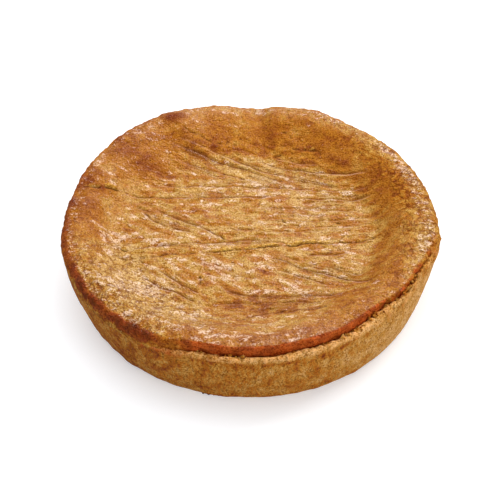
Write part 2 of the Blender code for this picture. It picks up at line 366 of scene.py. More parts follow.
class Form:
    """The cake's form, worked out from the driving sizes in the panel."""

    def __init__(self, sizes):
        for name in ("rim_radius", "base_radius", "rim_height", "centre_height", "bottom_rounding",
                     "wall_bulge", "reach_left", "reach_right", "reach_front", "reach_back"):
            setattr(self, name, getattr(sizes, name) / MM)
        self.shift = np.zeros(3)
        azimuth = np.arange(0.0, 360.0, 0.5)
        radius, _ = self.joined(CASE_CLOSED, CASE_OPEN, 0.0 * azimuth, azimuth)
        rim = self.placed(radius, np.full_like(azimuth, self.rim_height), azimuth)
        self.shift[:2] = (rim.max(axis=0) + rim.min(axis=0))[:2] / 2.0

    def opening(self, azimuth):
        """1 where the lid stands clear of the case, 0 where it is baked onto it."""
        return np.interp(signed(azimuth), *np.transpose(SEAM))

    def ledge(self, azimuth):
        """1 along the seam's right end, where crumbling crust nearly fills it."""
        return rises(azimuth, *LEDGE_FROM) * falls(azimuth, *LEDGE_TO)

    def joined(self, closed, opened, row, azimuth):
        """A row of two outlines, mixed by how far open the seam is there."""
        share = self.opening(azimuth)
        steps = np.arange(len(closed))
        inset, drop = (mix(np.interp(row, steps, near), np.interp(row, steps, far), share)
                       for near, far in zip(np.transpose(closed), np.transpose(opened)))
        shrunk = np.interp(signed(azimuth), *np.transpose(SHRUNK))
        inset = inset + shrunk * share * rises(inset, 2.5, 2.5)
        return self.rim_radius - inset, self.rim_height - drop

    def lid_top(self, share, azimuth):
        """The lid's top from its middle, at share 0, to its crest, at share 1."""
        crest_radius, crest_height = self.joined(LID_CLOSED, LID_OPEN, 0.0 * share, azimuth)
        radius = crest_radius * share
        angle = np.radians(azimuth)
        across = np.where(np.cos(angle) > 0.0, self.reach_right, self.reach_left)
        along = np.where(np.sin(angle) > 0.0, self.reach_back, self.reach_front)
        foot = 1.0 / np.hypot(np.cos(angle) / across, np.sin(angle) / along)
        widest = bell(signed(azimuth - RIM_TOP_WIDEST), RIM_TOP_SPREAD)
        shoulder = crest_radius - RIM_TOP - RIM_TOP_MORE * widest
        rise = rises(radius, foot, shoulder - foot)
        return radius, mix(self.centre_height, crest_height, rise)

    def placed(self, radius, height, azimuth):
        """Points of the true round cake, moved to where the uneven rim has them."""
        near_rim = rises(radius, WAVES_FROM, WAVES_OVER) * smooth(height / self.rim_height)
        for centre, half_width, out, up in RIM_WAVES:
            share = bell(signed(azimuth - centre), half_width)
            radius = radius + out * share * near_rim
            height = height + up * share * near_rim ** 2
        angle = np.radians(azimuth)
        return np.column_stack((radius * np.cos(angle), radius * np.sin(angle), height)) - self.shift


# ------------------------------ reading and writing meshes

def read(mesh, name="co"):
    """A mesh's points, or their normals, as an array with a row for each."""
    flat = np.empty(len(mesh.vertices) * 3, dtype=np.float32)
    mesh.vertices.foreach_get(name, flat)
    return flat.reshape(-1, 3).astype(float)


def write(mesh, points):
    """Moves a mesh's points to places given in millimetres."""
    mesh.vertices.foreach_set("co", (points * MM).astype(np.float32).ravel())
    mesh.update()


def mark(mesh, **fields):
    """Keeps numbers for each point, which a material reads by name."""
    for name, values in fields.items():
        attribute = mesh.attributes.new(name, "FLOAT", "POINT")
        attribute.data.foreach_set("value", np.asarray(values, dtype=np.float32))


def made_mesh(name, draft):
    """A finished bmesh as a mesh."""
    mesh = bpy.data.meshes.new(name)
    draft.to_mesh(mesh)
    draft.free()
    return mesh


def extruded(draft, border, height):
    """Extrudes a border of edges, puts the new points at a height and gives the new border."""
    added = bmesh.ops.extrude_edge_only(draft, edges=border)["geom"]
    for part in added:
        if isinstance(part, bmesh.types.BMVert):
            part.co.z = height
    return [part for part in added if isinstance(part, bmesh.types.BMEdge) and part.is_boundary]


def corners(mesh):
    """The point of each face corner, and how many corners each face has."""
    point = np.empty(len(mesh.loops), dtype=np.int32)
    mesh.loops.foreach_get("vertex_index", point)
    count = np.empty(len(mesh.polygons), dtype=np.int32)
    mesh.polygons.foreach_get("loop_total", count)
    return point, count


def keep_map(mesh, places):
    """Lays the mesh out flat for its textures, by each face corner's place in the unit square."""
    layer = mesh.uv_layers.new(name="OFBake")
    layer.uv.foreach_set("vector", np.asarray(places, dtype=np.float32).ravel())


def add_piece(mesh, material):
    """Links a finished mesh as a piece that rides on the cake's body."""
    mesh.materials.append(material)
    mesh.shade_smooth()
    piece = bpy.data.objects.new(mesh.name, mesh)
    bpy.context.scene.collection.objects.link(piece)
    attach(piece, "root")
    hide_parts("cake")
    return piece


# ------------------------------ strokes

def smooth_line(course):
    """A smooth line through a stroke's points, as points STROKE_STEP apart, and how far along each is."""
    course = np.array(course, dtype=float)
    lengths = np.r_[0.0, np.cumsum(np.linalg.norm(np.diff(course, axis=0), axis=1))]
    where = np.linspace(0.0, lengths[-1], int(lengths[-1] / STROKE_STEP) + 2)
    ends = np.vstack((2.0 * course[0] - course[1], course, 2.0 * course[-1] - course[-2]))
    leg = np.clip(np.searchsorted(lengths, where, side="right") - 1, 0, len(course) - 2)
    t = ((where - lengths[leg]) / np.diff(lengths)[leg])[:, None]
    a, b, c, d = (ends[leg + k] for k in range(4))
    line = b + 0.5 * t * (c - a + t * (2.0 * a - 5.0 * b + 4.0 * c - d + t * (3.0 * b - a - 3.0 * c + d)))
    return np.column_stack((line, np.zeros(len(line)))), where / lengths[-1]


def hairlines():
    """Faint scratches that run beside the strokes, as a fork's other tines leave them."""
    pick = np.random.default_rng(HAIRLINE_SEED)
    found = []
    for _, half_width, course in STROKES:
        run = np.subtract(course[-1], course[0])
        across = np.array((-run[1], run[0])) / np.linalg.norm(run)
        line, _ = smooth_line(course)
        for _ in range(HAIRLINES):
            start = pick.uniform(*HAIRLINE_STARTS)
            stop = start + pick.uniform(*HAIRLINE_LENGTHS)
            off = pick.uniform(*HAIRLINE_ASIDE) * pick.choice((-1.0, 1.0))
            ends = (np.array((start, (start + stop) / 2.0, min(stop, 1.0))) * (len(line) - 1)).astype(int)
            found.append((pick.uniform(*HAIRLINE_DEPTHS), half_width, line[ends, :2] + across * off))
    return found


def cuts(flat, strokes, wander, ragged, seed):
    """For each point: how far the nearest stroke is, its depth and width there, and the side it lies on."""
    samples, sizes = [], []
    for number, (depth, half_width, course) in enumerate(strokes):
        line, along = smooth_line(course)
        for size, share in WANDERS:
            for axis in (0, 1):
                line[:, axis] += wander * share * rough(line + 31.0 * number, size, seed + axis)
        fade = smooth(np.minimum(along, 1.0 - along) * 7.0)
        uneven = np.clip(0.95 + ragged * rough(line, UNEVEN, seed + 2), 0.08, 1.5)
        samples.append(line)
        sizes.append(np.column_stack((depth * fade * uneven, np.full(len(line), half_width),
                                      np.gradient(line[:, 0]), np.gradient(line[:, 1]))))
    samples, sizes = np.vstack(samples), np.vstack(sizes)
    tree = kdtree.KDTree(len(samples))
    for index, sample in enumerate(samples):
        tree.insert(sample, index)
    tree.balance()
    found = [tree.find(point)[1:] for point in flat]
    index, distance = (np.array(column) for column in zip(*found))
    depth, half_width, run_x, run_y = sizes[index].T
    away = flat - samples[index]
    return distance, depth, half_width, np.sign(run_x * away[:, 1] - run_y * away[:, 0])


def stroke_direction(flat):
    """The way that the strokes near each point run, as a unit vector."""
    doubled = np.tile(GRAIN_ELSEWHERE, (len(flat), 1))
    for _, _, course in STROKES:
        line, _ = smooth_line(course)
        for here, ahead in zip(line[::GRAIN_STEP], line[GRAIN_AHEAD::GRAIN_STEP]):
            angle = 2.0 * math.atan2(ahead[1] - here[1], ahead[0] - here[0])
            weight = bell(np.linalg.norm(flat - here, axis=1), GRAIN_REACH)
            doubled += weight[:, None] * (math.cos(angle), math.sin(angle))
    angle = np.arctan2(doubled[:, 1], doubled[:, 0]) / 2.0
    return np.column_stack((np.cos(angle), np.sin(angle), np.zeros(len(angle))))


def fold_height(flat):
    """How much the pushed-up folds raise or lower the lid."""
    total = np.zeros(len(flat))
    for start, end, half_width, height in FOLDS:
        start, end = np.array((*start, 0.0)), np.array((*end, 0.0))
        along = np.clip((flat - start) @ (end - start) / np.sum((end - start) ** 2), 0.0, 1.0)
        gap = np.linalg.norm(flat - start - along[:, None] * (end - start), axis=1)
        total += height * bell(gap, half_width)
    return total


# ------------------------------ the lid

LID_GRID = 284        # squares each way of the grid that is bent to the round lid


def square_to_disc(u, v):
    """Bends the square of -1 to 1 to a disc, each square ring to a circle: share of radius, azimuth."""
    share = np.maximum(np.abs(u), np.abs(v))
    safe = np.where(share > 0.0, share, 1.0)
    right, left, up = (u >= np.abs(v)), (-u >= np.abs(v)), (v > np.abs(u))
    azimuth = np.select((right, left, up), (45.0 * v / safe, 180.0 - 45.0 * v / safe, 90.0 - 45.0 * u / safe),
                        270.0 + 45.0 * u / safe)
    return share, azimuth


def lid_surface(points, row, azimuth, form):
    """What the lid's surface is like at each point: its relief in mm and the fields its material reads."""
    flat = points * (1.0, 1.0, 0.0)
    radius = np.hypot(flat[:, 0], flat[:, 1])
    open_seam = form.opening(azimuth)
    gap, depth, width, side = cuts(flat, STROKES + tuple(hairlines()), *STROKE_MANNER)
    tear, tear_depth, tear_width, tear_side = cuts(flat, CRACKS, *CRACK_MANNER)
    direction = stroke_direction(flat)

    # Where the fork scored it, where its crust is granular, where it is browner, where the slope turned from
    # the light is darker, partly as painted shade, and where the left edge has a painted sheen
    scored = falls(radius, SCORED_TO + SCORED_MORE * arc("long strokes", azimuth), 18.0)
    rim = rises(radius, RIM_FROM, 14.0)
    right = zone("granular right", azimuth, radius)
    crumbly = np.clip(zone("granular left", azimuth, radius) + right, 0.0, 1.0)
    slope_from = SLOPE_FROM - SLOPE_MORE * arc("wide slope", azimuth)
    slope = rises(radius, slope_from, 10.0) * falls(radius, SLOPE_TO, 10.0)
    dark = arc("dark back", azimuth) + 0.85 * arc("dark right", azimuth)
    back = slope * np.clip(dark, 0.0, 1.0)
    left_edge = zone("sheen left", azimuth, radius)
    patches = spots(flat, PATCHES)

    # Noise, in lumps and drawn out along the strokes, and the cells of the granular crust
    lumps, knobs, crumb, pools = (rough(points, *noise) for noise in LID_NOISE)
    drawn, fine_drawn, drawn_pools, dried = (streaks(flat, direction, *streak) for streak in LID_STREAKS)
    bent = points + np.column_stack([rough(points, 3.5, seed) for seed in (7, 8, 9)]) * 1.3
    pores = cells(bent, 2.9, 6)
    granules = crumbly * (0.42 - pores)
    crazing = crumbly * rises(pores, 0.56, 0.14)
    wash = smooth(0.42 + mix(pools, drawn_pools, scored))

    # The strokes with the lips beside them, and the tears, whose far side is open crumb
    groove = 0.38 * depth * bell(gap, 1.4 * width)
    lips = 0.25 * depth * bell(gap - 2.3 * width, 1.1 * width)
    puff = 0.40 * (1.0 - np.exp(-gap / 3.0)) * depth.clip(0.0, 1.0) * scored
    torn = 0.34 * tear_depth * bell(tear, 1.4 * tear_width)
    torn_lips = 0.25 * tear_depth * bell(tear - 3.0 * tear_width, 1.6 * tear_width)
    crumb_side = (rises(tear_side * tear, -0.2, 0.6) * falls(tear - 1.2 * crumb, 2.5, 1.2)
                  * rises(tear_depth, 0.9, 0.6))
    torn_open = np.clip(0.80 * crumb_side * (0.9 + 0.5 * knobs) + 0.2 * torn_lips, 0.0, 0.9)
    relief = (0.75 * lumps + 0.60 * knobs + scored * (0.50 * drawn + 0.30 * fine_drawn - 0.30 * wash)
              + (0.16 + 0.22 * rim + 0.12 * crumbly + 0.40 * crumb_side) * crumb + 0.70 * granules
              - 0.30 * crazing + puff + lips + torn_lips - groove - torn + fold_height(flat))

    # The edge: caramelised where the seam is open and where the oven caught it, broken at the
    # right. The lid's azimuths run from -45 to 315, so the broken part starts at -45.
    side_face = rises(row, 1.5 - 1.2 * open_seam, mix(2.5, 1.8, open_seam))
    broken = falls(azimuth, *BROKEN_TO)
    rim_face = rises(row + 1.4 * knobs, 0.8, 2.2) * (1.0 - open_seam)
    caught = np.clip(arc("caught front", azimuth) + 0.5 * arc("caught left", azimuth), 0.0, 1.0)
    caught = caught * (1.0 - rises(row + 3.5 * knobs + 2.5 * crumb, 7.5, 1.5))
    caramel = side_face * open_seam * (0.86 + 0.6 * knobs) * (1.0 - broken * smooth(0.42 + 1.5 * crumb))
    caramel = np.maximum(caramel, 0.32 * rim_face * caught)

    # The gaps between the granules are browned darker as painted shade, and their tops paler
    browning = (0.34 + 0.16 * back + patches + 0.05 * lumps + 0.04 * knobs + 0.04 * drawn
                + 0.14 * groove + mix(0.10, 0.26, scored) * (wash - 0.5) + 0.10 * crazing
                + crumbly * (0.35 * (pores - 0.45) - 0.10) + 0.25 * side_face * open_seam
                + 0.10 * zone("front", azimuth, radius) + 0.08 * zone("back left", azimuth, radius)
                + 0.14 * zone("above the seam", azimuth, radius))
    browning = mix(browning, mix(0.46, 0.92, caught) + 0.24 * knobs + 0.08 * crumb,
                   rim_face * mix(0.4, 1.0, caught))
    glaze = np.clip(1.0 - 0.35 * crumbly - 0.9 * torn_open - 0.7 * back - 2.2 * patches, 0.0, 1.0)
    # Painted glints: pale spots where the glaze would catch the light, partly egg wash dried pale. They
    # gather on granule tops, the rim and the left edge's painted sheen, and fade on the slope turned from the
    # light.
    dried = dried + 0.7 * rough(flat, 15.0, 34) - 0.5 * (wash - 0.5)
    glint_amount = (dried * (1.0 - 0.5 * crumbly) + spots(flat, GLINT_SPOTS) + 1.1 * granules + 0.22 * crumbly
             + 0.22 * right + 0.10 * rim + 0.5 * left_edge - 0.9 * back - 2.5 * patches.clip(0.0, 1.0))
    glint_amount = (rises(glint_amount, 0.08, 0.7) * (1.0 - side_face) * (1.0 - 0.7 * rim_face * caught)
             * (1.0 - torn_open))
    glint_amount = np.maximum(glint_amount, 0.75 * left_edge * smooth(0.5 + 0.8 * crumb)) - 0.8 * side_face - 0.35 * back
    return relief, {
        "browning": browning, "caramel": caramel, "wash": wash, "glaze": glaze * (1.0 - 0.8 * side_face),
        "torn": torn_open, "crumbly": crumbly, "glint_amount": glint_amount,
        "stroke": side * gap, "stroke_depth": depth * falls(gap, 1.5, 0.8),
        "crack": tear_side * tear, "crack_depth": 0.9 * np.tanh(1.1 * tear_depth) * falls(tear, 1.5, 0.8),
    }


def edge_relief(points, row, azimuth, open_seam):
    """How uneven the lid's edge is below its crest, ragged at the right, where crumbs came away."""
    seam_edge, ragged, uneven = (rough(points, *noise) for noise in EDGE_NOISE)
    shown = falls(row, 11.0, 2.0)
    crumbled = rises(azimuth, *BROKEN_FROM) * falls(azimuth, *BROKEN_TO) * rises(row, 1.0, 2.0) * shown
    return (0.45 * seam_edge * rises(row, 3.0, 4.0) * open_seam + 0.8 * ragged * crumbled
            + 0.5 * uneven * rises(row, 0.0, 2.0) * shown)


def lid_map(mesh, square, row):
    """The grid's own square with the extruded rows round it; the hidden underside gets one corner."""
    point, count = corners(mesh)
    spread = 1.0 + 0.01 * row
    places = (0.49 + 0.48 * square[:, :2] * (spread / spread.max())[:, None])[point]
    hidden = np.repeat(count > 4, count)
    places[hidden] = 0.991 + 0.006 * square[point[hidden], :2]
    keep_map(mesh, places)


def make_lid(form, material):
    """The lid: a square grid bent to a disc, whose border is extruded over its edge and under it."""
    draft = bmesh.new()
    bmesh.ops.create_grid(draft, x_segments=LID_GRID, y_segments=LID_GRID, size=1.0)
    border = [edge for edge in draft.edges if edge.is_boundary]
    for row in range(1, len(LID_CLOSED)):
        border = extruded(draft, border, -row)
    bmesh.ops.edgeloop_fill(draft, edges=border)
    bmesh.ops.recalc_face_normals(draft, faces=draft.faces)
    mesh = made_mesh("pastry_lid", draft)

    square = read(mesh)
    row = np.round(-square[:, 2])
    lid_map(mesh, square, row)
    share, azimuth = square_to_disc(square[:, 0], square[:, 1])
    top_radius, top_height = form.lid_top(share, azimuth)
    edge_radius, edge_height = form.joined(LID_CLOSED, LID_OPEN, row, azimuth)
    radius = np.where(row > 0, edge_radius, top_radius)
    height = np.where(row > 0, edge_height, top_height)
    points = form.placed(radius, height, azimuth)
    write(mesh, points)
    relief, fields = lid_surface(points, row, azimuth, form)
    shown_rows = len(LID_CLOSED) - HIDDEN_ROWS - 2
    relief *= 1.0 - rises(row, shown_rows - 3, 3.0)
    relief *= mix(1.0, 0.55, rises(row, 0.0, 3.0))
    relief += edge_relief(points, row, azimuth, form.opening(azimuth))
    write(mesh, points + read(mesh, "normal") * relief[:, None])
    mark(mesh, **fields)
    return add_piece(mesh, material)


# ------------------------------ the case

CASE_AROUND = 1000    # faces round the case, and rows of them on its foot and its wall
FOOT_ROWS = 4
WALL_ROWS = 52
STRIPS = 3            # the wall is laid out flat in strips, one above another
STRIP_TURN = 360.0 / STRIPS
STRIP_LENGTH = 0.97   # as a share of the layout's side, as are the lengths below
STRIP_SPACING = 0.2
MAP_EDGE = 0.01       # left clear round each part of the layout
BOTTOM_ON_MAP = (0.2, 0.8)
HIDDEN_ON_MAP = (0.9, 0.9)


def case_surface(points, row, height, azimuth, form):
    """What the case's surface is like at each point: its relief in mm and the fields its material reads."""
    open_seam = form.opening(azimuth)
    lumps, knobs, crumb, fine = (rough(points, *noise) for noise in WALL_NOISE)
    pores = cells(points, 2.6, 25)
    crest = rises(height, CREST_FROM, 3.0)
    foot = falls(height, 4.0, 4.0)
    ledge = crest * form.ledge(azimuth)
    beyond = row - FOOT_ROWS - WALL_ROWS
    relief = (0.50 * lumps + 0.25 * knobs + 0.14 * crumb + 0.09 * fine + foot * 0.30 * knobs
              + crest * (0.35 * crumb + 0.55 * (0.42 - pores)) + ledge * (0.45 * crumb + 0.3 * fine))

    band = bell(height - CREST_FROM + 0.5 - 1.2 * knobs, 2.4) * open_seam
    drips = 0.8 * rises(height + 2.6 * knobs + crumb, CREST_FROM, 2.0) * (1.0 - open_seam)
    dripped = 0.25 + arc("dripped front", azimuth) + 0.6 * arc("dripped left", azimuth)
    # The wall arcs paint it paler at the right and browner at the left, partly as painted light and shade
    browning = (0.37 + 0.12 * arc("brown wall", azimuth) - 0.26 * arc("pale wall", azimuth)
                - 0.05 * arc("palest wall", azimuth) + 0.07 * lumps + 0.06 * knobs + 0.03 * crumb
                + 0.16 * band + 0.10 * foot * (1.0 + knobs) - 0.20 * (crest - ledge) * open_seam
                + 0.10 * drips + ledge * (0.22 + 0.16 * rises(beyond, 4.0, 3.0)))
    inner = rises(beyond, 6.5, 2.0) * open_seam
    torn = np.clip(crest * (0.50 - 0.35 * ledge + 0.6 * crumb) * (0.25 + 0.75 * open_seam), 0.0, 1.0)
    return relief, {"browning": browning, "torn": torn * (1.0 - inner),
                    "caramel": np.maximum(0.8 * inner, 0.9 * drips * np.clip(dripped, 0.0, 1.0))}


def case_map(mesh, row, azimuth):
    """Three strips of the wall one above another, then the bottom; the hidden floor gets one corner."""
    point, count = corners(mesh)
    first = np.repeat(azimuth[point[np.cumsum(count) - count]], count)
    turn = first + signed(azimuth[point] - first)
    strip = np.clip(np.floor((first + 180.0) / STRIP_TURN), 0.0, STRIPS - 1.0)
    height = (STRIP_SPACING - 2.0 * MAP_EDGE) * row[point] / row.max()
    places = MAP_EDGE + np.column_stack((STRIP_LENGTH * ((turn + 180.0) / STRIP_TURN - strip),
                                         STRIP_SPACING * strip + height))
    angle = np.radians(azimuth[point])
    bottom = (row[point] == 0)[:, None]
    reach = np.where(bottom, STRIP_SPACING - 2.0 * MAP_EDGE, MAP_EDGE)
    round_places = np.where(bottom, BOTTOM_ON_MAP, HIDDEN_ON_MAP)
    round_places = round_places + reach * np.column_stack((np.cos(angle), np.sin(angle)))
    flat = np.repeat(count > 4, count)
    places[flat] = round_places[flat]
    keep_map(mesh, places)


def make_case(form, material):
    """The case: a circle extruded row by row, then bent to the wall, its top and the seam."""
    rows = FOOT_ROWS + WALL_ROWS + len(CASE_CLOSED)
    draft = bmesh.new()
    bmesh.ops.create_circle(draft, segments=CASE_AROUND, radius=1.0)
    border = list(draft.edges)
    for row in range(1, rows):
        border = extruded(draft, border, row)
    bmesh.ops.edgeloop_fill(draft, edges=[edge for edge in draft.edges if edge.is_boundary])
    bmesh.ops.recalc_face_normals(draft, faces=draft.faces)
    mesh = made_mesh("pastry_case", draft)

    turned = read(mesh)
    row = np.round(turned[:, 2])
    azimuth = np.degrees(np.arctan2(turned[:, 1], turned[:, 0]))
    case_map(mesh, row, azimuth)
    tilt = np.clip(row / FOOT_ROWS, 0.0, 1.0) * math.pi / 2.0
    foot_radius = form.base_radius - form.bottom_rounding * (1.0 - np.sin(tilt))
    foot_height = form.bottom_rounding * (1.0 - np.cos(tilt))
    first_top = FOOT_ROWS + WALL_ROWS
    top_radius, top_height = form.joined(CASE_CLOSED, CASE_OPEN, np.clip(row - first_top, 0, None), azimuth)
    start_radius, start_height = form.joined(CASE_CLOSED, CASE_OPEN, 0.0 * row, azimuth)
    share = np.clip((row - FOOT_ROWS) / WALL_ROWS, 0.0, 1.0)
    wall_radius = mix(form.base_radius, start_radius, share) + form.wall_bulge * np.sin(math.pi * share)
    wall_height = mix(form.bottom_rounding, start_height, share)
    parts = (row < FOOT_ROWS, row < first_top)
    radius = np.select(parts, (foot_radius, wall_radius), top_radius)
    height = np.select(parts, (foot_height, wall_height), top_height)
    beyond = row - first_top
    height += LEDGE_RISE * form.ledge(azimuth) * rises(beyond, 2.0, 2.0) * falls(beyond, 9.5, 1.5)
    points = form.placed(radius, height, azimuth)
    write(mesh, points)
    relief, fields = case_surface(points, row, height, azimuth, form)
    relief *= smooth(height / 1.5) * (row < rows - HIDDEN_ROWS)
    points = points + read(mesh, "normal") * relief[:, None]
    points[:, 2] = np.maximum(points[:, 2], 0.0)
    write(mesh, points)
    mark(mesh, **fields)
    return add_piece(mesh, material)


# ------------------------------ the crumbs

def make_crumbs(form, material):
    """Loose crumbs along the open seam and at the foot: rough balls, each turned and squashed its own way."""
    pick = np.random.default_rng(CRUMB_SEED)
    draft = bmesh.new()
    colouring = []
    for azimuths, insets, drop, count, sizes, browning in CRUMBS:
        for _ in range(count):
            azimuth = np.array([pick.uniform(*azimuths)])
            inset = np.array([pick.uniform(*insets)])
            size = pick.uniform(*sizes)
            height = form.rim_height - drop - 0.35 * (inset - insets[0]) + 0.3 * size
            place = form.placed(form.rim_radius - inset, height, azimuth)[0]
            turned = Matrix.Rotation(pick.uniform(0.0, math.tau), 4, Vector(pick.normal(size=3)))
            squashed = Matrix.Diagonal((*pick.uniform(0.65, 1.25, size=3) * size, 1.0))
            made = bmesh.ops.create_icosphere(draft, subdivisions=2, radius=1.0,
                                              matrix=Matrix.Translation(place) @ turned @ squashed)["verts"]
            colouring += [browning + pick.uniform(-0.12, 0.12)] * len(made)
    mesh = made_mesh("crumbs", draft)
    points = read(mesh)
    points += 0.35 * read(mesh, "normal") * rough(points, 0.9, 41)[:, None]
    points[:, 2] = np.maximum(points[:, 2], 0.0)
    write(mesh, points)
    mark(mesh, browning=colouring, caramel=np.zeros(len(points)), torn=np.zeros(len(points)))
    return add_piece(mesh, material)


# ------------------------------ materials

# The grain of each surface as noise: (size in mm, detail, roughness). Sugar's own grain, of
# about 0.3 mm, is too fine to show, so the speckle stands for it at 0.9 mm.
LID_GRAIN = ((5.0, 2.0, 0.5), (2.0, 2.0, 0.6), (0.9, 1.0, 0.6), (1.7, 1.0, 0.6), (3.0, 1.0, 0.5))
WALL_GRAIN = ((7.0, 2.0, 0.5), (2.3, 2.0, 0.6), (0.9, 1.0, 0.6), (1.8, 1.0, 0.6))
BUBBLES_APART = 3.4   # the burst bubbles in the egg wash
PLATES = 4.2          # the plates of the granular crust, and how far the cracks between them wander
PLATES_BEND = 3.0
LID_BUMP = 1.3        # how deep the grain is in the crust, in the film of egg wash and in the case
FILM_BUMP = 1.2
WALL_BUMP = 2.0
# How the cuts are drawn: (which, half width in mm, how far to one side). The line set to one side is a
# painted highlight on each stroke's lit lip. The cores and the crack's dip are painted shade in the cuts.
CUT_LINES = (("stroke", 0.24, 0.0), ("stroke", 0.55, 0.0), ("stroke", 0.35, 0.9), ("crack", 0.30, 0.0),
             ("crack", 0.60, 0.0))

# Painted shade and highlight from the fine relief: hollows darken pastry's colour as painted shade, and the
# highest bumps are painted lighter and bluer as highlight
PAINTED_LIGHT_STOPS = ((0.42, (0.50, 0.34, 0.14)), (0.58, (0.76, 0.65, 0.46)), (0.72, (0.96, 0.95, 0.93)),
               (0.88, (1.10, 1.2, 1.5)))
WALL_PAINTED_LIGHT_STOPS = ((0.42, (0.58, 0.36, 0.16)), (0.58, (0.85, 0.65, 0.47)), (0.72, (1.01, 0.90, 0.88)),
                    (0.88, (1.15, 1.12, 1.45)))


def feed(tree, node, inputs):
    """Sets a node's inputs, by name or in order, to values, outputs or other nodes."""
    for name, value in (inputs if isinstance(inputs, dict) else dict(enumerate(inputs))).items():
        if isinstance(value, bpy.types.Node):
            value = next(output for output in value.outputs if output.enabled)
        if isinstance(value, bpy.types.NodeSocket):
            tree.links.new(value, node.inputs[name])
        else:
            node.inputs[name].default_value = value


def add(tree, kind, inputs=(), stops=(), **settings):
    """Adds a node with its settings, its inputs and its colour stops."""
    node = tree.nodes.new("ShaderNode" + kind)
    for name, value in settings.items():
        setattr(node, name, value)
    feed(tree, node, inputs)
    for _ in stops[2:]:
        node.color_ramp.elements.new(1.0)
    for number, (place, shade) in enumerate(stops):
        node.color_ramp.elements[number].position = place
        node.color_ramp.elements[number].color = (*shade, 1.0)
    return node


def new_material(name):
    """A material with its node tree and its shader."""
    material = bpy.data.materials.new(name)
    material.use_nodes = True
    tree = material.node_tree
    return material, tree, tree.nodes["Principled BSDF"]


def grained(tree, fields, stretch, grain):
    """The object's own coordinates, the fields by name, and the grain as noises, the second one stretched."""
    place = add(tree, "TexCoord").outputs["Object"]
    field = {name: add(tree, "Attribute", attribute_name=name).outputs["Fac"] for name in fields}
    stretched = add(tree, "Mapping", {"Vector": place, "Scale": stretch})
    noises = [add(tree, "TexNoise", {"Vector": stretched if number == 1 else place,
                                     "Scale": 1 / (size * MM), "Detail": detail, "Roughness": harsh})
              for number, (size, detail, harsh) in enumerate(grain)]
    return place, field, noises


def weighted(tree, sums):
    """Weighted sums, each given as what it starts from and its (part, weight) pairs."""
    totals = []
    for total, parts in sums:
        for part, weight in parts:
            total = add(tree, "Math", (part, weight, total), operation="MULTIPLY_ADD")
        totals.append(total)
    return totals


def layered(tree, shade, layers):
    """A colour with layers over it, each given as (share, colour, blend)."""
    for share, layer, blend in layers:
        shade = add(tree, "Mix", {0: share, 6: shade, 7: layer}, data_type="RGBA", blend_type=blend)
    return shade


def pastry_stops(colours):
    """Pastry's colours from pale to burnt, each at its degree of browning."""
    return ((0.0, colours.butter), (0.25, colours.gold), (0.50, colours.amber), (0.72, colours.chestnut),
            (0.88, colours.maroon), (1.0, colours.burnt))


